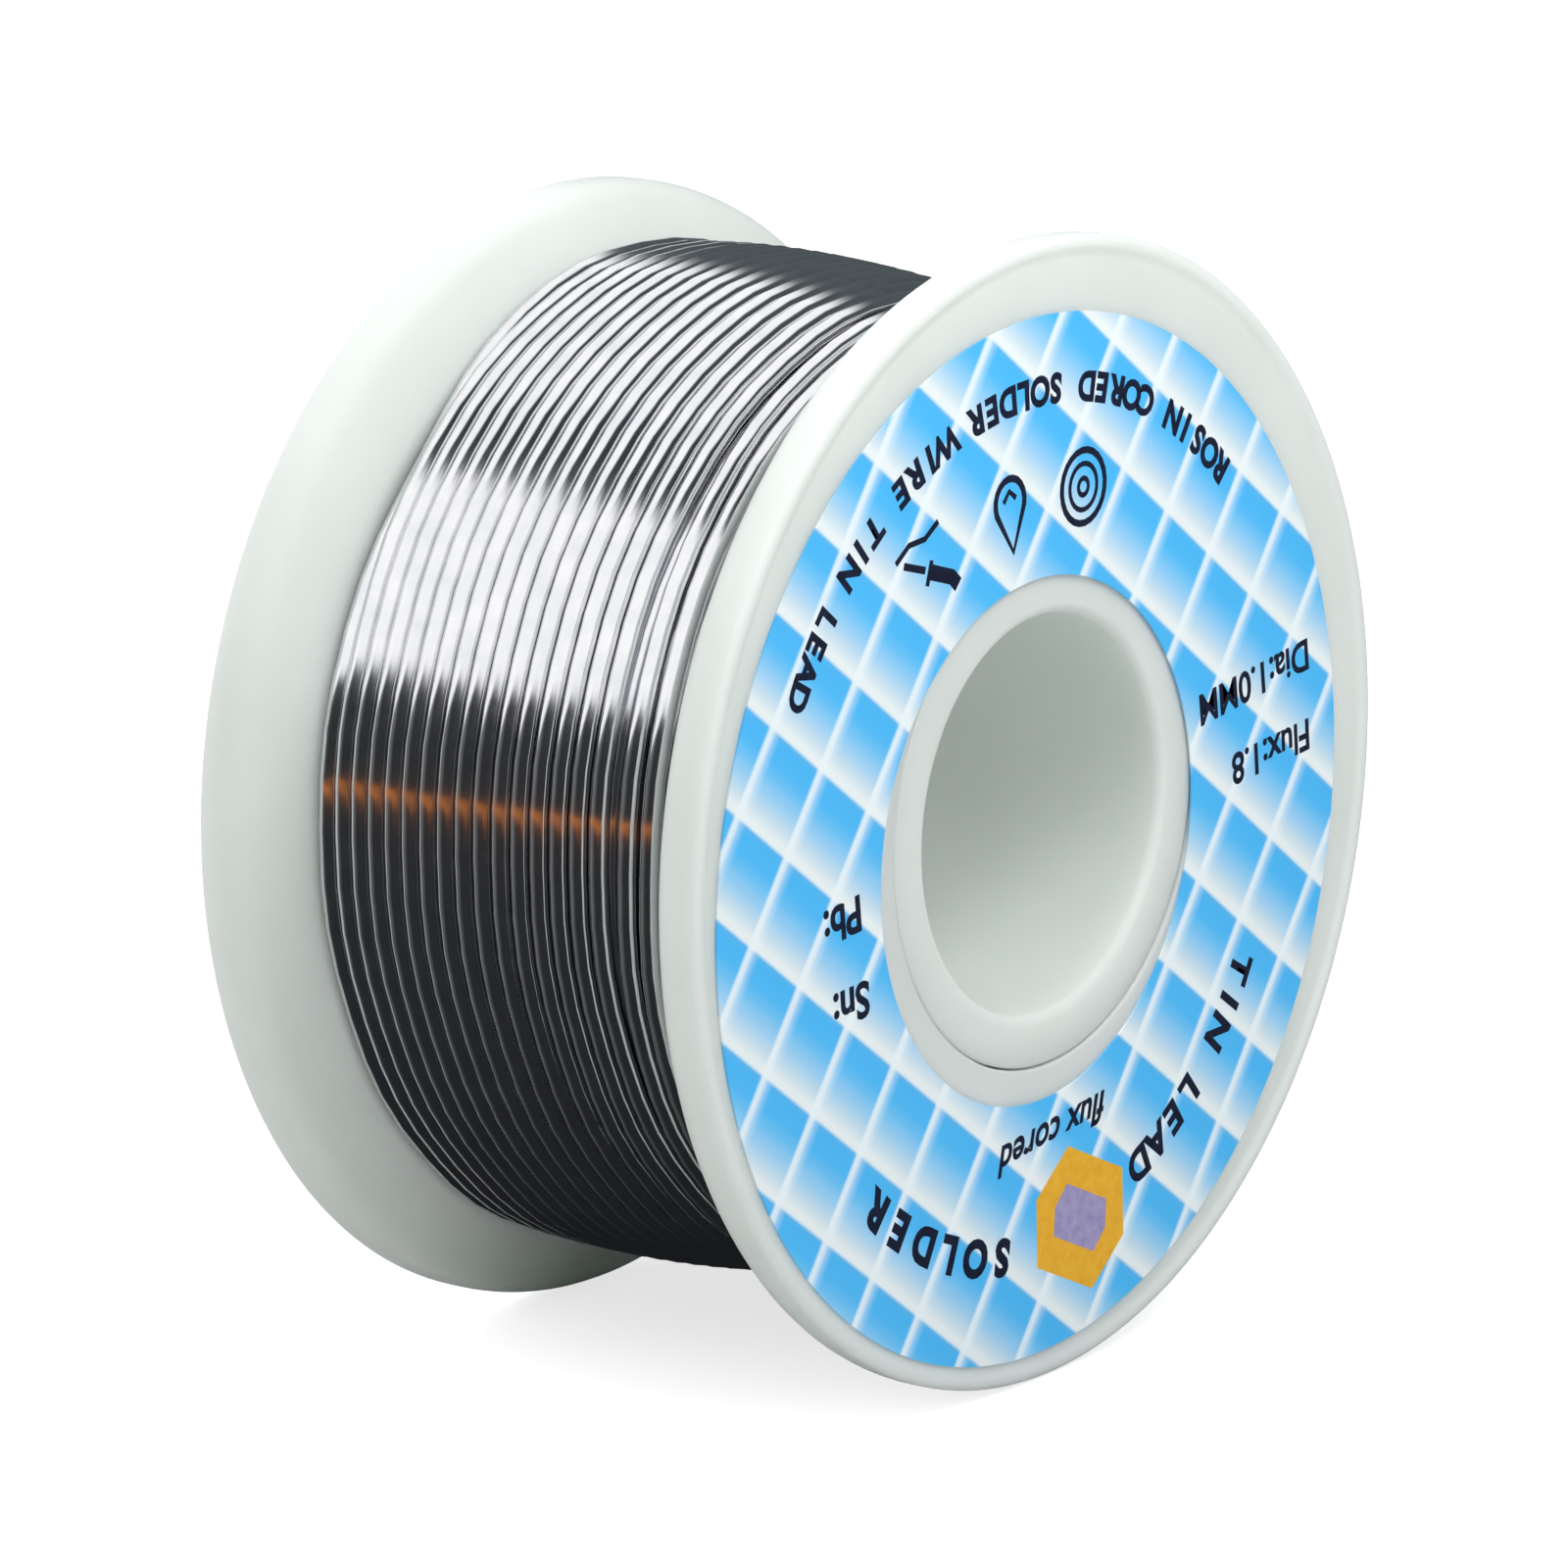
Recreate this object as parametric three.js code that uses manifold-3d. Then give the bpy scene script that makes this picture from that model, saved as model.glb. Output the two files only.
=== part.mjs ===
// Solder wire spool: a two-piece moulded plastic reel, its paper label and the wound solder.
// Millimetres, +Z up. The spool lies on its two flange rims with its axle line along X, and
// the labelled flange faces +X. The origin is on the surface it lies on, midway between the rims.
import * as THREE from 'three';
import { mergeVertices } from 'three/addons/utils/BufferGeometryUtils.js';
import Module from 'manifold-3d';

// Reel
const FLANGE_R = 27.5;
const RIM_X = 14.6;             // outermost plane of each rim, from the mid-plane
const FACE_X = 14.42;           // flat outer face of each flange, set back inside the rim
const RECESS_R = 26.5;          // where the rim starts to rise from the flat face
const RIM_FLAT_R = 26.9;        // where it levels out
const RIM_OUTER_FILLET = 0.35;
const RIM_INNER_FILLET = 1.9;
const FLARE_ANGLE = 0.997;      // slope of the inner face's flare, from the axle line
const INNER_FACE_X = 10.2;      // face of each flange that the winding lies against
const INNER_FACE_R = 24;        // where that face starts to flare outwards
const BORE_R = 9.6;
const MOUTH_FILLET = 0.5;       // rounding of the bore's mouth
const TUBE_R = 12.1;            // outside of the bore tube
const BARREL_R = 18.9;          // surface that the first layer of wire lies on
const WALL = 1.6;               // barrel wall
const WEB_COUNT = 6;
const WEB_THICKNESS = 1.2;
const SPIGOT_LENGTH = 4;
const SPIGOT_WALL = 1.4;
const GAP = 0.3;                // clearance between separate pieces
const SEAM = 0.1;               // clearance of the tube's end in the front flange's hole

// Label
const LABEL_R = 25.05;
const LABEL_HOLE_R = 12.65;
const LABEL_THICKNESS = 0.08;
const LABEL_LIFT = 0.02;
const LABEL_DROP = 1.11;        // the label is stuck on off centre: down
const LABEL_SIDE = -0.73;       // and towards -Y

// Winding
const WIRE_R = 0.5;
const PITCH = 1.02;
const LAYERS = 6;
const LAYER_RISE = 0.87;
const TOP_LAYER_START_X = -9.57; // centre of the first turn of the top layer
const TOP_LAYER_TURNS = 18;
const CROWN_X = -5;             // where the winding is fullest
const CROWN_R = 24.6;
const CROWN_FALL = 0.009;       // radius lost per mm squared away from there
const WINDING_RISE = 0.4;       // the loose outer layers stand this much above the axle line
const FREE_END_START = -Math.PI / 4;
const FREE_END_ARC = Math.PI / 3;
const FREE_END_X = 7.8;
const FREE_END_SHIFT = 0.8;     // how far it wanders towards the front flange
const FLUX_HOLE_R = 0.19;
const FLUX_R = 0.15;

// Faceting
const SEGMENTS = 72;
const ARC_STEPS = 5;
const AXLE_Z = FLANGE_R * Math.cos(Math.PI / SEGMENTS);

const wasm = await Module();
wasm.setup();

const MILKY_PLASTIC = { color: 0xdfe6e2, roughness: 0.4, metalness: 0 };
const LABEL_PAPER = { color: 0x6db8ee, roughness: 0.45, metalness: 0 };
const SOLDER = { color: 0xb9bcc0, roughness: 0.25, metalness: 1 };
const ROSIN = { color: 0xb8782a, roughness: 0.5, metalness: 0 };

// A closed profile of [axial, radial] points turned about the axle line, with a flat facet below.
function turned(profile) {
  const closed = [...profile, profile[0]];
  const points = closed.map(([axial, radial]) => new THREE.Vector2(radial, axial));
  return new THREE.LatheGeometry(points, SEGMENTS, Math.PI / SEGMENTS).rotateZ(-Math.PI / 2);
}

// Points of an arc in the profile plane, from one angle to another.
function arc(axial, radial, radius, from, to, steps = ARC_STEPS) {
  return Array.from({ length: steps + 1 }, (_, i) => {
    const angle = from + ((to - from) * i) / steps;
    return [axial + radius * Math.cos(angle), radial + radius * Math.sin(angle)];
  });
}

function mirrored(profile) {
  return profile.map(([axial, radial]) => [-axial, radial]).reverse();
}

function toManifold(geometry) {
  const bare = geometry.clone();
  bare.deleteAttribute('normal');
  bare.deleteAttribute('uv');
  const merged = mergeVertices(bare, 1e-4);
  const triVerts = new Uint32Array(merged.index.array);
  const vertProperties = new Float32Array(merged.attributes.position.array);
  return new wasm.Manifold(new wasm.Mesh({ numProp: 3, vertProperties, triVerts }));
}

function toGeometry(manifold) {
  const mesh = manifold.getMesh();
  const geometry = new THREE.BufferGeometry();
  geometry.setAttribute('position', new THREE.BufferAttribute(mesh.vertProperties, 3));
  geometry.setIndex(new THREE.BufferAttribute(mesh.triVerts, 1));
  return geometry;
}

function piece(name, geometry, finish) {
  const mesh = new THREE.Mesh(geometry, new THREE.MeshStandardMaterial(finish));
  mesh.name = name;
  return mesh;
}

// Outline of the front flange's rim: from its inner face, round the rim, to its outer face.
function rimProfile() {
  const shoulderX = INNER_FACE_X + (FLANGE_R - INNER_FACE_R) / Math.tan(FLARE_ANGLE);
  const filletX = shoulderX + RIM_INNER_FILLET * Math.tan(FLARE_ANGLE / 2);
  return [
    [INNER_FACE_X, INNER_FACE_R],
    ...arc(filletX, FLANGE_R - RIM_INNER_FILLET, RIM_INNER_FILLET,
      Math.PI / 2 + FLARE_ANGLE, Math.PI / 2),
    ...arc(RIM_X - RIM_OUTER_FILLET, FLANGE_R - RIM_OUTER_FILLET, RIM_OUTER_FILLET,
      Math.PI / 2, 0, 3),
    [RIM_X, RIM_FLAT_R],
    [FACE_X, RECESS_R],
  ];
}

// Outline of the bore's rounded mouth, from the end face that stands at a given x to the bore.
function mouthProfile(endX) {
  return arc(endX - MOUTH_FILLET, BORE_R + MOUTH_FILLET, MOUTH_FILLET, 0, -Math.PI / 2, 4);
}

// A radial web across the pocket, from the rear flange to just short of the front one's spigot.
function web(index) {
  const length = 2 * INNER_FACE_X - SPIGOT_LENGTH - GAP + 1;
  const height = BARREL_R - WALL - TUBE_R + 1;
  const middle = (BARREL_R - WALL + TUBE_R) / 2;
  return new THREE.BoxGeometry(length, WEB_THICKNESS, height)
    .translate(length / 2 - INNER_FACE_X - 1, 0, middle)
    .rotateX((2 * Math.PI * index) / WEB_COUNT);
}

// Rear flange, bore tube and barrel moulded in one. The pocket between tube and barrel is open
// towards the front flange and stiffened by the webs.
function rearFlangeWithBarrel() {
  const frontX = INNER_FACE_X - GAP;
  const body = toManifold(turned([
    ...mirrored(mouthProfile(FACE_X)),
    ...mirrored(rimProfile()),
    [-INNER_FACE_X, BARREL_R],
    [frontX, BARREL_R],
    [frontX, BARREL_R - WALL],
    [-INNER_FACE_X, BARREL_R - WALL],
    [-INNER_FACE_X, TUBE_R],
    [FACE_X - SEAM, TUBE_R],
    ...mouthProfile(FACE_X - SEAM),
  ]));
  const webs = Array.from({ length: WEB_COUNT }, (_, i) => toManifold(web(i)));
  return toGeometry(webs.reduce((solid, next) => solid.add(next), body));
}

// Front flange: a disc pressed over the bore tube, with a spigot ring that enters the barrel.
function frontFlange() {
  const spigotR = BARREL_R - WALL - GAP;
  const spigotX = INNER_FACE_X - SPIGOT_LENGTH;
  return turned([
    [INNER_FACE_X, TUBE_R + SEAM],
    [INNER_FACE_X, spigotR - SPIGOT_WALL],
    [spigotX, spigotR - SPIGOT_WALL],
    [spigotX, spigotR - 0.4],
    [spigotX + 0.8, spigotR],
    [INNER_FACE_X, spigotR],
    ...rimProfile(),
    [FACE_X, TUBE_R + SEAM],
  ]);
}

// Paper ring stuck on the front face, off centre, so that it overlaps the tube's end at the top.
function label() {
  const outline = new THREE.Shape().absarc(0, 0, LABEL_R, 0, 2 * Math.PI);
  outline.holes.push(new THREE.Path().absarc(0, 0, LABEL_HOLE_R, 0, 2 * Math.PI, true));
  return new THREE.ExtrudeGeometry(outline, {
    depth: LABEL_THICKNESS, bevelEnabled: false, curveSegments: SEGMENTS / 2,
  }).rotateY(Math.PI / 2).translate(FACE_X + LABEL_LIFT, LABEL_SIDE, -LABEL_DROP);
}

const crownR = (x) => CROWN_R - CROWN_FALL * (x - CROWN_X) ** 2;
const TOP_LAYER_END_X = TOP_LAYER_START_X + (TOP_LAYER_TURNS - 1) * PITCH + WIRE_R;
const SHOULDER_R = crownR(TOP_LAYER_END_X) - LAYER_RISE;

// Outer shape of the wound wire: the lower layers fill the reel, the top layer stops short.
function solderWinding() {
  const endX = INNER_FACE_X - GAP;
  const crown = Array.from({ length: 7 }, (_, i) => {
    const x = ((TOP_LAYER_END_X + endX) * i) / 6 - endX;
    return [x, crownR(x)];
  });
  const outer = toManifold(turned([
    [-endX, BARREL_R - 2],
    ...crown,
    [TOP_LAYER_END_X + WIRE_R, SHOULDER_R],
    [endX, SHOULDER_R],
    [endX, BARREL_R - 2],
  ]).translate(0, 0, WINDING_RISE));
  const barrel = new THREE.CylinderGeometry(BARREL_R + GAP, BARREL_R + GAP, 40, SEGMENTS)
    .rotateZ(-Math.PI / 2);
  return toGeometry(outer.subtract(toManifold(barrel)));
}

// Route of the wire's outer end: up the far side, over the last turns by the front flange.
function freeEndRoute() {
  const radius = crownR(FREE_END_X) + WIRE_R + GAP;
  return new THREE.CatmullRomCurve3(Array.from({ length: 9 }, (_, i) => {
    const angle = FREE_END_START + (FREE_END_ARC * i) / 8;
    return new THREE.Vector3(FREE_END_X + (FREE_END_SHIFT * i) / 8, radius * Math.cos(angle),
      WINDING_RISE + radius * Math.sin(angle));
  }));
}

function octagon(radius) {
  return Array.from({ length: 8 }, (_, i) => {
    const angle = (Math.PI * i) / 4;
    return new THREE.Vector2(radius * Math.cos(angle), radius * Math.sin(angle));
  });
}

function alongFreeEnd(section) {
  return new THREE.ExtrudeGeometry(section, { steps: 12, extrudePath: freeEndRoute() });
}

// The last stretch of the solder, a tube of alloy round its flux.
function freeEnd() {
  const section = new THREE.Shape(octagon(WIRE_R));
  section.holes.push(new THREE.Path(octagon(FLUX_HOLE_R).reverse()));
  return alongFreeEnd(section);
}

function fluxCore() {
  return alongFreeEnd(new THREE.Shape(octagon(FLUX_R)));
}

const spool = new THREE.Group();
spool.position.z = AXLE_Z;
spool.add(
  piece('rear_flange_with_barrel', rearFlangeWithBarrel(), MILKY_PLASTIC),
  piece('front_flange', frontFlange(), MILKY_PLASTIC),
  piece('front_label', label(), LABEL_PAPER),
  piece('solder_winding', solderWinding(), SOLDER),
  piece('solder_free_end', freeEnd(), SOLDER),
  piece('flux_core', fluxCore(), ROSIN),
);

export default spool;
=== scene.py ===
"""Solder wire spool: the looks of the reel, its label and the wire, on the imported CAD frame."""

import math

import bmesh
import bpy
from mathutils import Matrix, Vector


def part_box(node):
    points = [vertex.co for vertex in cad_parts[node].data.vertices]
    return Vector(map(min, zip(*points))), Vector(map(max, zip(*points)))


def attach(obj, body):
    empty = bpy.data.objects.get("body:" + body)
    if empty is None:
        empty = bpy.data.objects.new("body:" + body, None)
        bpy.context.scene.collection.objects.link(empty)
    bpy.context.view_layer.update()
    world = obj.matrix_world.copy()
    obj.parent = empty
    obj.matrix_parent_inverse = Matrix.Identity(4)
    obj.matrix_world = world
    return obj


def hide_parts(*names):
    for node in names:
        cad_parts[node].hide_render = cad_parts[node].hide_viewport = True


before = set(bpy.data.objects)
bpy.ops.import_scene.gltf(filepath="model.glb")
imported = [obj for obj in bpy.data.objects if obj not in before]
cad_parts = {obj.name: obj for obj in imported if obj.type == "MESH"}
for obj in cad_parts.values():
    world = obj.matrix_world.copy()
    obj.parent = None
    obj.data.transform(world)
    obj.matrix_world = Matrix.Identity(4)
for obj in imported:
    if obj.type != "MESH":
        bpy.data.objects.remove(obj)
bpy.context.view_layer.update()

MM = 0.001
TURN = 2 * math.pi
DEG = math.pi / 180

# Reel, in mm from its mid-plane and axle line
FRONT_LO, FRONT_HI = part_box("front_flange")
LABEL_LO, LABEL_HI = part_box("front_label")
AXLE_Z = (FRONT_LO[2] + FRONT_HI[2]) / 2
FLANGE_R = (FRONT_HI[2] - FRONT_LO[2]) / 2 / MM
RIM_X = FRONT_HI[0] / MM
RECESS_DEPTH = 0.18
RECESS_R = 26.5
FACE_X = RIM_X - RECESS_DEPTH
RIM_FLAT_R = 26.9
FLARE_ANGLE = 0.997  # between the rim's inner slope and the axle
INNER_FACE_X = 10.2
INNER_FACE_R = 24.0
BORE_R = 9.6
TUBE_R = 12.1
BARREL_R = 18.9
WALL = 1.6
SPIGOT_LENGTH = 4.0
SPIGOT_WALL = 1.4
GAP = 0.3
SEAM = 0.1
TURNED_STEPS = 192
FILLET_STEPS = 6
SHARP_ANGLE = 40 * DEG

# Label, in mm
LABEL_FACE_X = LABEL_HI[0] / MM
LABEL_R = (LABEL_HI[1] - LABEL_LO[1]) / 2 / MM
LABEL_HOLE_R = 12.65
LABEL_THICKNESS = 0.09
LABEL_Y = (LABEL_HI[1] + LABEL_LO[1]) / 2 / MM
LABEL_Z = ((LABEL_HI[2] + LABEL_LO[2]) / 2 - AXLE_Z) / MM
LABEL_TURN = 169.65 * DEG
LATTICE_CELL = 4.46
LATTICE_ANGLE = -25.5 * DEG
PRINT_LIFT = 0.004

# Winding, in mm
WIRE_R = 0.5
PITCH = 1.02
LAYERS = 6
FLANGE_CLEARANCE = 0.05
FRONT_SHORTFALL = {3: 0.5, 4: 1.3}  # how far short of the front flange these layers stop
POINTS_PER_TURN = 16
CROWN_X = -5.0
CROWN_R = 24.6
CROWN_FALL = 0.009
WINDING_RISE = 0.4
TOP_LAYER_START_X = -9.6
TOP_LAYER_TURNS = 18
TOP_LAYER_END_X = TOP_LAYER_START_X + (TOP_LAYER_TURNS - 1) * PITCH + WIRE_R
CLIMB_TURN, CLIMB_SPREAD = 0.278, 0.03  # where the first turn climbs the rear flange's flare
CLIMB_OUT, CLIMB_BACK = 0.35, 0.25
SINK_TURN, SINK_SPREAD = 0.385, 0.045  # where it sinks below the row
SINK_DEPTH = 0.75
ROW_END = 16.1  # turns of the top layer that lie in an even row
LOOSE_TURNS = [  # where the loose turns after them lie, as (turns wound, x)
    (16.3, 6.85),
    (16.48, 7.15),
    (16.6, 6.82),
    (17.0, 7.2),
    (17.33, 8.0),
    (17.48, 8.25),
    (17.58, 7.83),
]
FREE_END_X = 7.8
FREE_END_START = -math.pi / 4
FREE_END_ARC = math.pi / 3
FREE_END_SHIFT = 0.8
FREE_END_STEPS = 8
FLUX_R = 0.19
FLUX_DEPTH = 0.4
FLUX_PROUD = 0.02

# Camera and floor, in m and radians
CAMERA_AZIMUTH = 36.94 * DEG
CAMERA_ELEVATION = 12.9 * DEG
CAMERA_DISTANCE = 416 * MM
CAMERA_SHIFT = (0.88 * MM, 0.46 * MM)
CAMERA_LENS = 198.8
FLOOR_SIZE = 6
FLOOR_DROP = 0.0001

# What the wire mirrors, by the angles that mirrored_angles gives
PANEL_WHITE = (1.23, 1.23, 1.23, 1)
PANEL_BOTTOM_REAR, PANEL_BOTTOM_FRONT = 13.5 * DEG, 20 * DEG
PANEL_REAR, PANEL_FRONT = -25 * DEG, 15 * DEG
PANEL_TOP = 84 * DEG
SHOULDER_BOTTOM, SHOULDER_TOP = 43.5 * DEG, 57 * DEG
SHOULDER_SIDE_LOW, SHOULDER_SIDE_HIGH = 18 * DEG, 40 * DEG
STRIP_ORANGE = (0.8, 0.26, 0.06, 1)
STRIP_BOTTOM, STRIP_TOP = 4.2 * DEG, 5.0 * DEG
REAR_GREY = (0.2, 0.205, 0.21, 1)
REAR_GREY_BOTTOM, REAR_GREY_FULL, REAR_GREY_TOP = -65 * DEG, 12 * DEG, 30 * DEG


def linear(red, green, blue):
    """The linear colour for 0 to 255 display values."""
    return tuple((c / 255) ** 2.2 for c in (red, green, blue)) + (1.0,)


# ---------------------------------------------------------------- geometry helpers


def filleted(corners):
    """The closed outline through (x, r, fillet) corners, with each corner rounded to its fillet."""
    outline = []
    for i, (x, r, fillet) in enumerate(corners):
        here = Vector((x, r))
        before = (Vector(corners[i - 1][:2]) - here).normalized()
        after = (Vector(corners[(i + 1) % len(corners)][:2]) - here).normalized()
        half = before.angle(after) / 2
        reach = fillet / math.tan(half)
        centre = here + (before + after).normalized() * fillet / math.sin(half)
        start = (here + before * reach - centre).normalized()
        end = (here + after * reach - centre).normalized()
        for step in range(FILLET_STEPS + 1):
            outline.append(centre + start.slerp(end, step / FILLET_STEPS) * fillet)
    return outline


def new_piece(name, mesh, material, place=Matrix()):
    """A shown piece that stays with the reel."""
    piece = bpy.data.objects.new(name, mesh)
    piece.matrix_world = place
    bpy.context.scene.collection.objects.link(piece)
    mesh.materials.append(material)
    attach(piece, "root")
    return piece


def ring_faces(rounds, count):
    """Faces between neighbouring loops of count vertices, closed both ways."""
    faces = []
    for i in range(rounds):
        here = i * count
        after = (i + 1) % rounds * count
        for j in range(count):
            k = (j + 1) % count
            faces.append((here + j, here + k, after + k, after + j))
    return faces


def turned_mesh(name, outline):
    """The closed outline turned about the axle line, as a smooth mesh."""
    mesh = bpy.data.meshes.new(name)
    vertices = [
        (x * MM, r * MM * math.sin(a), AXLE_Z + r * MM * math.cos(a))
        for a in (TURN * i / TURNED_STEPS for i in range(TURNED_STEPS))
        for x, r in outline
    ]
    mesh.from_pydata(vertices, [], ring_faces(TURNED_STEPS, len(outline)))
    tidy_normals(mesh)
    return mesh


def tidy_normals(mesh):
    """Turns all faces outwards and smooths them, except over sharp edges."""
    shape = bmesh.new()
    shape.from_mesh(mesh)
    bmesh.ops.recalc_face_normals(shape, faces=shape.faces)
    shape.to_mesh(mesh)
    shape.free()
    mesh.shade_smooth()
    mesh.set_sharp_from_angle(angle=SHARP_ANGLE)


# ---------------------------------------------------------------- material helpers


class Nodes:
    """Short names for building the node tree of one material or world."""

    def __init__(self, name, world=False):
        self.owner = (bpy.data.worlds if world else bpy.data.materials).new(name)
        self.owner.use_nodes = True
        self.tree = self.owner.node_tree
        self.shader = self.tree.nodes["Background" if world else "Principled BSDF"]

    def add(self, kind, **settings):
        node = self.tree.nodes.new("ShaderNode" + kind)
        for key, value in settings.items():
            setattr(node, key, value)
        return node

    def link(self, source, target):
        self.tree.links.new(source, target)

    def maths(self, operation, a, b=0.0):
        node = self.add("Math", operation=operation)
        for socket, value in zip(node.inputs, (a, b)):
            if isinstance(value, (int, float)):
                socket.default_value = value
            else:
                self.link(value, socket)
        return node.outputs[0]

    def place(self):
        """The shaded point in the piece's own frame."""
        return self.add("TexCoord").outputs["Object"]

    def noise(self, size_mm):
        node = self.add("TexNoise")
        node.inputs["Scale"].default_value = 1 / (size_mm * MM)
        node.inputs["Detail"].default_value = 3.0
        self.link(self.place(), node.inputs["Vector"])
        return node.outputs["Fac"]

    def ramp(self, factor, stops):
        node = self.add("ValToRGB")
        elements = node.color_ramp.elements
        while len(elements) < len(stops):
            elements.new(0.5)
        for element, (position, colour) in zip(elements, stops):
            element.position = position
            element.color = colour
        self.link(factor, node.inputs["Fac"])
        return node.outputs["Color"]

    def spread(self, factor, low, high, start=0.0, end=1.0):
        """Low to high, as the factor goes from start to end."""
        node = self.add("MapRange")
        node.inputs["From Min"].default_value = start
        node.inputs["From Max"].default_value = end
        node.inputs["To Min"].default_value = low
        node.inputs["To Max"].default_value = high
        self.link(factor, node.inputs["Value"])
        return node.outputs["Result"]

    def past(self, value, edge, softness):
        """0 below the edge to 1 above it, with a soft border."""
        node = self.add("MapRange", interpolation_type="SMOOTHSTEP")
        node.inputs["From Min"].default_value = -softness
        node.inputs["From Max"].default_value = softness
        self.link(self.maths("SUBTRACT", value, edge), node.inputs["Value"])
        return node.outputs["Result"]

    def both(self, a, b):
        return self.maths("MULTIPLY", a, b)

    def invert(self, value):
        return self.maths("SUBTRACT", 1.0, value)

    def mix(self, factor, a, b):
        node = self.add("Mix", data_type="RGBA", clamp_result=False)
        for socket, value in ((node.inputs[0], factor), (node.inputs[6], a), (node.inputs[7], b)):
            if isinstance(value, (tuple, float)):
                socket.default_value = value
            else:
                self.link(value, socket)
        return node.outputs[2]

    def bump(self, height, distance_mm):
        node = self.add("Bump")
        node.inputs["Distance"].default_value = distance_mm * MM
        self.link(height, node.inputs["Height"])
        self.link(node.outputs["Normal"], self.shader.inputs["Normal"])


def milky_plastic():
    m = Nodes("milky_plastic")
    tint = m.ramp(m.noise(9), [(0.3, linear(220, 227, 222)), (0.7, linear(226, 232, 228))])
    m.link(tint, m.shader.inputs["Base Color"])
    m.link(m.spread(m.noise(2.5), 0.32, 0.42), m.shader.inputs["Roughness"])
    m.shader.inputs["Subsurface Weight"].default_value = 0.6
    m.shader.inputs["Subsurface Radius"].default_value = (1.0, 1.0, 0.9)
    m.shader.inputs["Subsurface Scale"].default_value = 2.5 * MM
    m.shader.inputs["IOR"].default_value = 1.49
    m.bump(m.noise(1.2), 0.01)
    return m.owner


def solder_metal():
    m = Nodes("solder_metal")
    tone = m.ramp(m.noise(1.5), [(0.3, linear(214, 215, 219)), (0.7, linear(228, 228, 230))])
    m.link(tone, m.shader.inputs["Base Color"])
    m.shader.inputs["Metallic"].default_value = 1.0
    m.link(m.spread(m.noise(0.8), 0.08, 0.14), m.shader.inputs["Roughness"])
    return m.owner


def rosin():
    m = Nodes("rosin")
    tone = m.ramp(m.noise(0.2), [(0.3, linear(170, 105, 30)), (0.7, linear(200, 135, 50))])
    m.link(tone, m.shader.inputs["Base Color"])
    m.shader.inputs["Roughness"].default_value = 0.3
    return m.owner


def lattice_phase(m, angle, offset):
    """How far a point is across one cell of the lattice, along the direction at that angle."""
    split = m.add("SeparateXYZ")
    m.link(m.place(), split.inputs[0])
    right = m.maths("MULTIPLY", split.outputs["X"], math.cos(angle) / (LATTICE_CELL * MM))
    up = m.maths("MULTIPLY", split.outputs["Y"], math.sin(angle) / (LATTICE_CELL * MM))
    return m.maths("FRACT", m.maths("ADD", m.maths("ADD", right, up), offset))


def printed_label_and_painted_glow():
    """White lattice on blue, each cell fading from strong blue under its upper line to white. The
    print also glows faintly in its own colours, as painted light that brightens the label.
    """
    m = Nodes("printed_label_and_painted_glow")
    fade = m.ramp(
        lattice_phase(m, LATTICE_ANGLE + math.pi / 2, 0.295),
        [
            (0.0, linear(158, 209, 243)),
            (0.16, linear(200, 224, 238)),
            (0.3, linear(232, 240, 241)),
            (0.36, linear(230, 240, 243)),
            (0.4, linear(88, 182, 240)),
            (0.46, linear(70, 182, 246)),
            (0.66, linear(76, 185, 247)),
            (0.8, linear(108, 194, 246)),
            (1.0, linear(158, 209, 243)),
        ],
    )
    line = m.ramp(
        lattice_phase(m, LATTICE_ANGLE + math.pi, 0.012),
        [
            (0.0, (0.9, 0.9, 0.9, 1)),
            (0.05, (0.75, 0.75, 0.75, 1)),
            (0.1, (0.3, 0.3, 0.3, 1)),
            (0.2, (0, 0, 0, 1)),
            (0.94, (0, 0, 0, 1)),
            (0.98, (0.8, 0.8, 0.8, 1)),
        ],
    )
    colour = m.mix(line, fade, linear(236, 246, 250))
    m.link(colour, m.shader.inputs["Base Color"])
    # Painted light: the label glows faintly in its own colours, to brighten it beyond what the lamps
    # give.
    m.link(colour, m.shader.inputs["Emission Color"])
    m.shader.inputs["Emission Strength"].default_value = 0.09
    m.link(m.spread(m.noise(1.5), 0.35, 0.45), m.shader.inputs["Roughness"])
    m.bump(m.noise(3), 0.01)
    return m.owner


def ink(name, first, second):
    m = Nodes(name)
    m.link(m.ramp(m.noise(0.6), [(0.3, first), (0.7, second)]), m.shader.inputs["Base Color"])
    m.shader.inputs["Roughness"].default_value = 0.4
    return m.owner


# ---------------------------------------------------------------- reel


def rim_corners():
    """The front flange's rim, from its inner face over the flare to the recess of its outer face."""
    shoulder_x = INNER_FACE_X + (FLANGE_R - INNER_FACE_R) / math.tan(FLARE_ANGLE)
    return [
        (INNER_FACE_X, INNER_FACE_R, 1.2),
        (shoulder_x, FLANGE_R, 1.9),
        (RIM_X, FLANGE_R, 0.35),
        (RIM_X, RIM_FLAT_R, 0.6),
        (FACE_X, RECESS_R, 0.8),
    ]


def mirrored(corners):
    """The same corners on the other side of the mid-plane."""
    return [(-x, r, fillet) for x, r, fillet in reversed(corners)]


def rear_flange_with_barrel(material):
    front_x = INNER_FACE_X - GAP
    barrel_inner_r = BARREL_R - WALL
    outline = filleted(
        [
            (-FACE_X, BORE_R, 0.5),
            *mirrored(rim_corners()),
            (-INNER_FACE_X, BARREL_R, 0.3),
            (front_x, BARREL_R, 0.3),
            (front_x, barrel_inner_r, 0.3),
            (-INNER_FACE_X, barrel_inner_r, 0.3),
            (-INNER_FACE_X, TUBE_R, 0.3),
            (FACE_X - SEAM, TUBE_R, 0.15),
            (FACE_X - SEAM, BORE_R, 0.5),
        ]
    )
    mesh = turned_mesh("rear_flange_with_barrel", outline)
    piece = new_piece("reel_rear", mesh, material)
    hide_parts("rear_flange_with_barrel")


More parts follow.
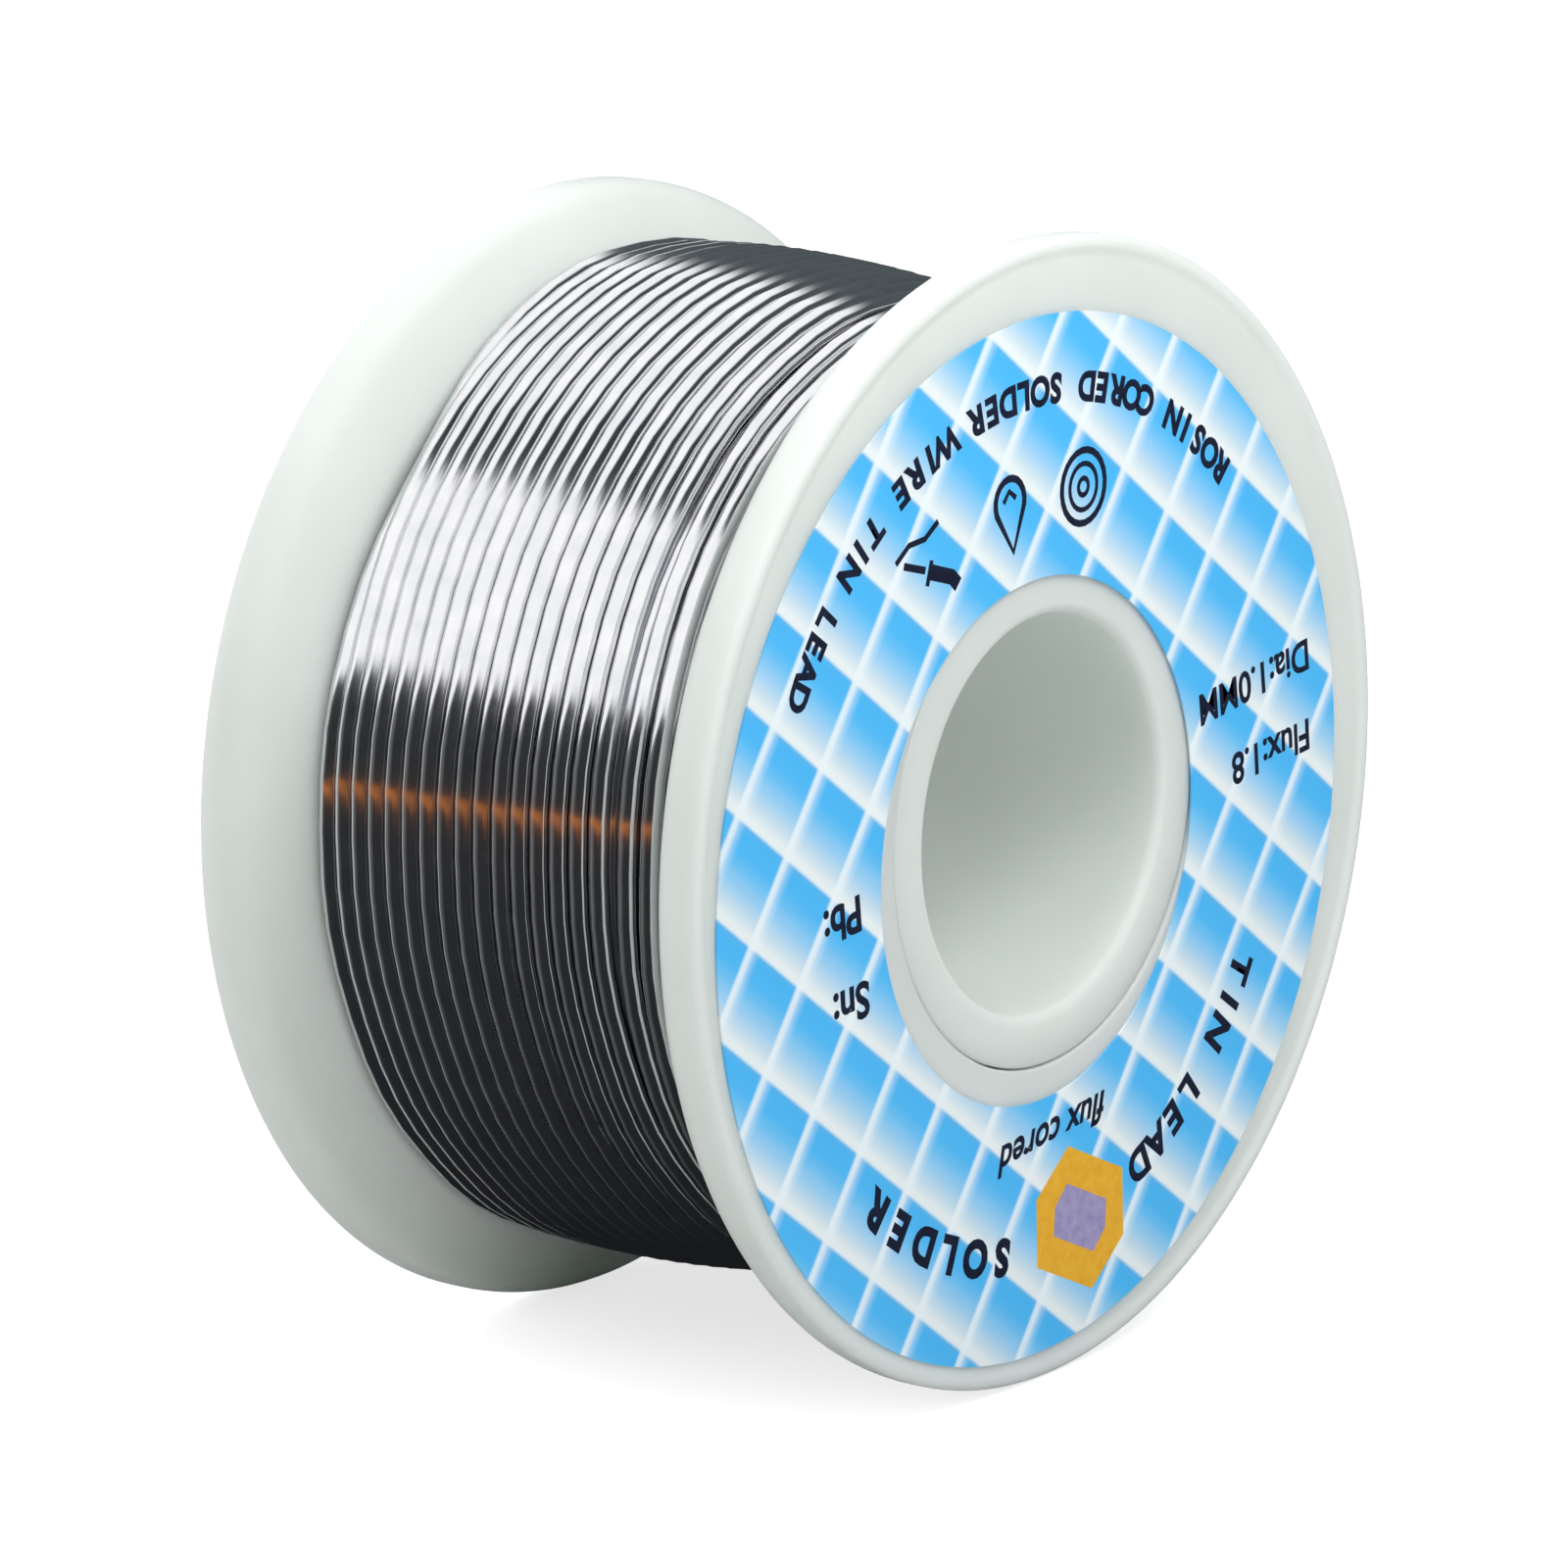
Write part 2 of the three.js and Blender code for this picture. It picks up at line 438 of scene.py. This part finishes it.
def front_flange(material):
    spigot_r = BARREL_R - WALL - GAP
    spigot_x = INNER_FACE_X - SPIGOT_LENGTH
    outline = filleted(
        [
            (INNER_FACE_X, TUBE_R + SEAM, 0.1),
            (INNER_FACE_X, spigot_r - SPIGOT_WALL, 0.1),
            (spigot_x, spigot_r - SPIGOT_WALL, 0.1),
            (spigot_x, spigot_r, 0.4),
            (INNER_FACE_X, spigot_r, 0.1),
            *rim_corners(),
            (FACE_X, TUBE_R + SEAM, 0.15),
        ]
    )
    piece = new_piece("reel_front", turned_mesh("front_flange", outline), material)
    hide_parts("front_flange")


# ---------------------------------------------------------------- label


def label_place():
    """The label's own frame: its centre, the way its words run and the way they stand."""
    centre = Matrix.Translation((LABEL_FACE_X * MM, LABEL_Y * MM, AXLE_Z + LABEL_Z * MM))
    facing = Matrix(((0, 0, 1), (1, 0, 0), (0, 1, 0))).to_4x4()
    return centre @ facing @ Matrix.Rotation(LABEL_TURN, 4, "Z")


def front_label(material):
    sides = 256
    back = -LABEL_THICKNESS
    rings = ((LABEL_HOLE_R, 0), (LABEL_R, 0), (LABEL_R, back), (LABEL_HOLE_R, back))
    vertices = [
        (r * math.cos(TURN * i / sides) * MM, r * math.sin(TURN * i / sides) * MM, lift * MM)
        for i in range(sides)
        for r, lift in rings
    ]
    mesh = bpy.data.meshes.new("front_label")
    mesh.from_pydata(vertices, [], ring_faces(sides, len(rings)))
    tidy_normals(mesh)
    piece = new_piece("label", mesh, material, label_place())
    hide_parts("front_label")


def on_label(right, up, angle=0.0, lift=PRINT_LIFT):
    """A place in the label's own frame, with print laid just over the paper."""
    place = Matrix.Translation((right * MM, up * MM, lift * MM))
    return place @ Matrix.Rotation(angle, 4, "Z")


def add_text(shape, text, size, right, up, angle, weight, slant=0.0):
    """Adds words, centred on a place, to the shape that gathers the label's print."""
    curve = bpy.data.curves.new("words", "FONT")
    curve.body = text
    curve.size = size * MM
    curve.shear = slant
    curve.offset = weight * MM
    curve.align_x = "CENTER"
    curve.align_y = "CENTER"
    curve.resolution_u = 4
    words = bpy.data.objects.new("words", curve)
    bpy.context.scene.collection.objects.link(words)
    bpy.context.view_layer.update()
    evaluated = words.evaluated_get(bpy.context.evaluated_depsgraph_get())
    mesh = bpy.data.meshes.new_from_object(evaluated)
    mesh.transform(on_label(right, up, angle))
    shape.from_mesh(mesh)
    bpy.data.objects.remove(words)
    bpy.data.curves.remove(curve)
    bpy.data.meshes.remove(mesh)


def add_text_arc(shape, text, size, radius, first, last, weight):
    """Adds words round the label, from one angle to another. They read clockwise with their
    feet towards the centre, or anticlockwise with their heads towards it."""
    step = (last - first) / (len(text) - 1)
    upright = -math.pi / 2 if step < 0 else math.pi / 2
    for i, letter in enumerate(text):
        angle = first + step * i
        place = (radius * math.cos(angle), radius * math.sin(angle))
        add_text(shape, letter, size, *place, angle + upright, weight)


def print_piece(name, shape, material):
    mesh = bpy.data.meshes.new(name)
    shape.to_mesh(mesh)
    shape.free()
    return new_piece(name, mesh, material, label_place())


def add_line(shape, place, points, width, closed=False):
    """Adds a flat mitred line through points given in mm about a place on the label."""
    points = [Vector(p) for p in points]
    sides = []
    for i, here in enumerate(points):
        before = points[i - 1] if i or closed else here
        after = points[(i + 1) % len(points)] if i + 1 < len(points) or closed else here
        run = ((here - before).normalized() + (after - here).normalized()).normalized()
        side = Vector((-run.y, run.x)) * width / 2
        edges = [Vector((*(here + s) * MM, 0)) for s in (side, -side)]
        sides.append([shape.verts.new(place @ edge) for edge in edges])
    for start, end in zip(sides, sides[1:] + sides[:1] if closed else sides[1:]):
        shape.faces.new([start[1], end[1], end[0], start[0]])


def circle(radius):
    sides = 24
    angles = [TURN * i / sides for i in range(sides)]
    return [(radius * math.cos(a), radius * math.sin(a)) for a in angles]


def drop_outline():
    tip, belly = (0, 1.9), 1.15
    turns = [math.pi * (0.9 + 1.2 * i / 12) for i in range(13)]
    return [tip] + [(belly * math.cos(a), belly * math.sin(a) - 0.5) for a in turns]


def dark_print(material):
    """The label's dark lettering and its three small pictures: a reel, a flux drop and an iron."""
    shape = bmesh.new()
    add_text_arc(shape, "SOLDER", 2.4, 19.8, 92 * DEG, 60 * DEG, 0.13)
    add_text_arc(shape, "TIN LEAD", 2.3, 19.4, 161 * DEG, 126 * DEG, 0.1)
    add_text_arc(shape, "ROSIN CORED SOLDER WIRE TIN LEAD", 1.9, 21.6, 237 * DEG, 342 * DEG, 0.09)
    add_text(shape, "Sn:", 2.4, 13.8, 7.4, 15 * DEG, 0.07)
    add_text(shape, "Pb:", 2.4, 15.2, 3.5, 17 * DEG, 0.07)
    add_text(shape, "Flux:1.8", 2.2, -19.0, -4.4, 16 * DEG, 0.05)
    add_text(shape, "Dia:1.0MM", 2.2, -16.8, -7.8, 18 * DEG, 0.05)
    add_text(shape, "flux cored", 2.1, -3.9, 13.9, 17 * DEG, 0.05, slant=0.35)
    reel = on_label(-0.3, -16.8)
    for radius, width in ((1.75, 0.34), (1.1, 0.26), (0.4, 0.26)):
        add_line(shape, reel, circle(radius), width, closed=True)
    drop = on_label(5.4, -15.4, 18 * DEG)
    add_line(shape, drop, drop_outline(), 0.36, closed=True)
    add_line(shape, drop, [(-0.5, -0.6), (0, -1.05), (0.5, -0.6)], 0.28)
    iron = on_label(11.6, -12.6, 32 * DEG)
    add_line(shape, iron, [(-1.9, 1.9), (-1.6, 1.3), (-0.2, 0.2)], 0.75)
    add_line(shape, iron, [(-0.5, -0.25), (0.25, 0.7)], 0.3)
    add_line(shape, iron, [(0.1, -0.05), (1.5, -1.1)], 0.36)
    add_line(shape, iron, [(-1.6, -1.7), (-0.4, -1.45), (0.8, -1.8), (2.0, -1.5)], 0.3)
    print_piece("label_lettering", shape, material)


def badge(amber, lilac):
    """A plain six-sided badge with a window."""
    for name, material, half_width, half_height, corner, lift in (
        ("label_badge", amber, 4.0, 3.0, 1.5, PRINT_LIFT),
        ("label_badge_window", lilac, 2.3, 1.3, 0.5, 2 * PRINT_LIFT),
    ):
        shape = bmesh.new()
        place = on_label(-6.9, 18.2, -14 * DEG, lift)
        inset = half_width - corner
        outline = [
            (half_width, 0),
            (inset, half_height),
            (-inset, half_height),
            (-half_width, 0),
            (-inset, -half_height),
            (inset, -half_height),
        ]
        shape.faces.new([shape.verts.new(place @ Vector((x * MM, y * MM, 0))) for x, y in outline])
        print_piece(name, shape, material)


# ---------------------------------------------------------------- wire


def crown_r(x):
    """The radius of the winding's outer surface."""
    return CROWN_R - CROWN_FALL * (min(x, TOP_LAYER_END_X) - CROWN_X) ** 2


FREE_END_R = crown_r(FREE_END_X) + WIRE_R + GAP


def at(x, radius, angle, rise=0.0):
    """A point round the axle line: angle 0 is towards +Y, a quarter turn is up."""
    return Vector(
        (x * MM, radius * math.cos(angle) * MM, AXLE_Z + (rise + radius * math.sin(angle)) * MM)
    )


def hump(t, middle, width):
    """1 at the middle, falling smoothly to 0 on both sides."""
    return math.exp(-(((t - middle) / width) ** 2))


def inner_layer(layer):
    """One layer from flange to flange, as (x, radius, rise). The upper ones stop short of the
    front flange."""
    rear_x = WIRE_R + FLANGE_CLEARANCE - INNER_FACE_X
    front_x = -rear_x - FRONT_SHORTFALL.get(layer, 0)
    turns = round((front_x - rear_x) / PITCH)
    share = layer / (LAYERS - 1)
    first_r = BARREL_R + WIRE_R
    for i in range(turns * POINTS_PER_TURN):
        t = i / (turns * POINTS_PER_TURN)
        x = rear_x + (front_x - rear_x) * (t if layer % 2 else 1 - t)
        yield x, first_r + (crown_r(x) - WIRE_R - first_r) * share, WINDING_RISE * share


def eased(stops, t):
    """The value at t, passing smoothly from each (t, value) stop to the next."""
    for (t0, v0), (t1, v1) in zip(stops, stops[1:]):
        if t <= t1:
            part = (t - t0) / (t1 - t0)
            return v0 + (v1 - v0) * part * part * (3 - 2 * part)
    return stops[-1][1]


def row_x(t):
    """Where the even row lies after t turns of the top layer."""
    return TOP_LAYER_START_X + PITCH * max(t - 0.5, 0)


def top_layer():
    """The last layer, as it goes round from the far side over the top. Its first turn climbs the
    rear flange's flare, then sinks below the row. Its last two turns are loose: they swing out
    towards the front flange and back, and end in the free end on the far side."""
    last = TOP_LAYER_TURNS + FREE_END_START / TURN
    loose = [(ROW_END, row_x(ROW_END)), *LOOSE_TURNS, (last, FREE_END_X)]
    lift_off = [(LOOSE_TURNS[-1][0], 0), (last, 1)]
    for i in range(int(last * POINTS_PER_TURN)):
        t = i / POINTS_PER_TURN
        climb = hump(t, CLIMB_TURN, CLIMB_SPREAD)
        sink = hump(t, SINK_TURN, SINK_SPREAD)
        x = row_x(t) - CLIMB_BACK * climb if t < ROW_END else eased(loose, t)
        radius = crown_r(x) - WIRE_R + CLIMB_OUT * climb - SINK_DEPTH * sink
        if t > lift_off[0][0]:
            radius += (FREE_END_R - radius) * eased(lift_off, t)
        yield x, radius, WINDING_RISE


def free_end():
    """The wire's last stretch, lifted clear of the winding, as (x, radius, angle)."""
    for i in range(FREE_END_STEPS + 1):
        x = FREE_END_X + FREE_END_SHIFT * i / FREE_END_STEPS
        yield x, FREE_END_R, FREE_END_START + FREE_END_ARC * i / FREE_END_STEPS


def wire_route():
    """The wire from the barrel outwards, layer by layer, to its free end."""
    wound = [p for layer in range(LAYERS - 1) for p in inner_layer(layer)]
    wound += top_layer()
    points = [
        at(x, radius, TURN * i / POINTS_PER_TURN, rise) for i, (x, radius, rise) in enumerate(wound)
    ]
    return points + [at(x, radius, angle, WINDING_RISE) for x, radius, angle in free_end()]


def solder_wire(points, material):
    curve = bpy.data.curves.new("solder_wire", "CURVE")
    curve.dimensions = "3D"
    curve.bevel_depth = WIRE_R * MM
    curve.bevel_resolution = 4
    curve.resolution_u = 4
    curve.use_fill_caps = True
    spline = curve.splines.new("BEZIER")
    spline.bezier_points.add(len(points) - 1)
    for knot, point in zip(spline.bezier_points, points):
        knot.co = point
        knot.handle_left_type = knot.handle_right_type = "AUTO"
    curve.materials.append(material)
    wire = bpy.data.objects.new("solder_wire", curve)
    bpy.context.scene.collection.objects.link(wire)
    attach(wire, "root")
    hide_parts("solder_winding", "solder_free_end")
    length = sum((b - a).length for a, b in zip(points, points[1:]))
    tuple(points[0])


def flux_core(points, material):
    """The flux that shows in the wire's cut end."""
    before, end = points[-2:]
    shape = bmesh.new()
    depth = FLUX_DEPTH * MM
    bmesh.ops.create_cone(
        shape, cap_ends=True, segments=24, radius1=FLUX_R * MM, radius2=FLUX_R * MM, depth=depth
    )
    mesh = bpy.data.meshes.new("flux_core")
    shape.to_mesh(mesh)
    shape.free()
    tidy_normals(mesh)
    along = (end - before).normalized()
    turn = along.to_track_quat("Z", "Y").to_matrix().to_4x4()
    place = Matrix.Translation(end - along * (depth / 2 - FLUX_PROUD * MM)) @ turn
    piece = new_piece("flux_in_cut_end", mesh, material, place)
    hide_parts("flux_core")


# ---------------------------------------------------------------- studio


def direction(azimuth, elevation):
    """The way from the reel to a place, with its azimuth counted from -Y towards +X."""
    level = math.cos(elevation)
    return Vector((math.sin(azimuth) * level, -math.cos(azimuth) * level, math.sin(elevation)))


def view_axes():
    """The camera's own right and up, and the way from the reel towards it."""
    right = Vector((math.cos(CAMERA_AZIMUTH), math.sin(CAMERA_AZIMUTH), 0))
    towards = direction(CAMERA_AZIMUTH, CAMERA_ELEVATION)
    return right, towards.cross(right), towards


def camera():
    right, up, towards = view_axes()
    data = bpy.data.cameras.new("camera")
    data.lens = CAMERA_LENS
    data.sensor_width = 36
    eye = bpy.data.objects.new("camera", data)
    aim = Vector((0, 0, AXLE_Z)) - right * CAMERA_SHIFT[0] - up * CAMERA_SHIFT[1]
    turn = Matrix((right, up, towards)).transposed().to_4x4()
    eye.matrix_world = Matrix.Translation(aim + towards * CAMERA_DISTANCE) @ turn
    bpy.context.scene.collection.objects.link(eye)
    bpy.context.scene.camera = eye


def floor():
    """A plain pale floor. It glows a little to the camera, so it throws little light back up."""
    bpy.ops.mesh.primitive_plane_add(size=FLOOR_SIZE, location=(0, 0, -FLOOR_DROP))
    plane = bpy.context.object
    plane.name = "floor"
    m = Nodes("floor")
    tone = m.ramp(m.noise(300), [(0.3, (0.7, 0.7, 0.7, 1)), (0.7, (0.72, 0.72, 0.72, 1))])
    m.link(tone, m.shader.inputs["Base Color"])
    m.shader.inputs["Roughness"].default_value = 0.8
    m.shader.inputs["Specular IOR Level"].default_value = 0.0
    m.shader.inputs["Emission Color"].default_value = (1, 1, 1, 1)
    seen = m.add("LightPath").outputs["Is Camera Ray"]
    m.link(m.maths("MULTIPLY", seen, 0.72), m.shader.inputs["Emission Strength"])
    plane.data.materials.append(m.owner)
    plane.visible_glossy = False


def soft_light(name, azimuth, elevation, distance, size, watts):
    """A square soft light that looks at the reel and isn't mirrored in the wire."""
    data = bpy.data.lights.new(name, "AREA")
    data.size = size
    data.energy = watts
    lamp = bpy.data.objects.new(name, data)
    way = direction(azimuth * DEG, elevation * DEG)
    lamp.location = Vector((0, 0, AXLE_Z)) + way * distance
    lamp.rotation_euler = way.to_track_quat("Z", "Y").to_euler()
    lamp.visible_glossy = False
    bpy.context.scene.collection.objects.link(lamp)


def mirrored_angles(w):
    """For each direction, which way a surface must face to mirror it to the camera: the angle up
    from the front, round the axle, and the tilt along the axle."""
    half = w.add("VectorMath", operation="ADD")
    w.link(w.add("TexCoord").outputs["Generated"], half.inputs[0])
    half.inputs[1].default_value = view_axes()[2]
    split = w.add("SeparateXYZ")
    w.link(half.outputs[0], split.inputs[0])
    x, y, z = split.outputs
    round_axle = w.maths("SQRT", w.maths("ADD", w.both(y, y), w.both(z, z)))
    return w.maths("ARCTAN2", z, w.maths("MULTIPLY", y, -1.0)), w.maths("ARCTAN2", x, round_axle)


def band(w, value, low, high, softness):
    """1 between two edges and 0 beyond them, with soft borders."""
    return w.both(w.past(value, low, softness), w.invert(w.past(value, high, softness)))


def light_panel(w, climb, tilt):
    """1 on the white panel. Its bottom edge is higher towards the front flange. Over its shoulder
    it stops at a side edge, which leans towards the front flange."""
    bottom = w.spread(tilt, PANEL_BOTTOM_REAR, PANEL_BOTTOM_FRONT, PANEL_REAR, PANEL_FRONT)
    above = w.past(climb, bottom, 0.8 * DEG)
    below = w.invert(w.past(climb, PANEL_TOP, 3 * DEG))
    side = w.spread(climb, SHOULDER_SIDE_LOW, SHOULDER_SIDE_HIGH, SHOULDER_BOTTOM, SHOULDER_TOP)
    beside = w.both(w.past(tilt, side, 6 * DEG), w.past(climb, SHOULDER_BOTTOM, 1.5 * DEG))
    return w.both(w.both(above, below), w.invert(beside))


def dark_room(w, climb, tilt):
    """Near black, a little lighter overhead, with grey low down on the rear flange's side."""
    dark = w.ramp(
        w.spread(climb, 0.0, 1.0, -60 * DEG, 90 * DEG),
        [
            (0.0, (0.012, 0.013, 0.015, 1)),
            (0.5, (0.036, 0.038, 0.041, 1)),
            (0.72, (0.04, 0.05, 0.05, 1)),
            (1.0, (0.095, 0.112, 0.12, 1)),
        ],
    )
    rising = w.spread(climb, 0.0, 1.0, REAR_GREY_BOTTOM, REAR_GREY_FULL)
    rear = w.both(w.invert(w.past(tilt, 0.0, 16 * DEG)), rising)
    grey = w.both(rear, w.invert(w.past(climb, REAR_GREY_TOP, 5 * DEG)))
    return w.mix(grey, dark, REAR_GREY)


def surroundings():
    """A dark room, with a white panel over the near side and a thin warm strip under it."""
    w = Nodes("studio", world=True)
    bpy.context.scene.world = w.owner
    climb, tilt = mirrored_angles(w)
    strip = band(w, climb, STRIP_BOTTOM, STRIP_TOP, 0.2 * DEG)
    warm = w.mix(strip, dark_room(w, climb, tilt), STRIP_ORANGE)
    w.link(w.mix(light_panel(w, climb, tilt), warm, PANEL_WHITE), w.shader.inputs["Color"])


plastic = milky_plastic()
rear_flange_with_barrel(plastic)
front_flange(plastic)
front_label(printed_label_and_painted_glow())
dark_print(ink("navy_ink", linear(18, 24, 48), linear(30, 38, 64)))
amber = ink("amber_ink", linear(240, 170, 30), linear(248, 190, 50))
lilac = ink("lilac_ink", linear(150, 140, 190), linear(175, 165, 205))
badge(amber, lilac)
route = wire_route()
solder_wire(route, solder_metal())
flux_core(route, rosin())
camera()
floor()
soft_light("fill", azimuth=-15, elevation=40, distance=1.0, size=0.8, watts=1.0)
soft_light("front_top", azimuth=90, elevation=51, distance=0.128, size=0.06, watts=0.075)
surroundings()
bpy.context.scene.view_settings.view_transform = "Standard"
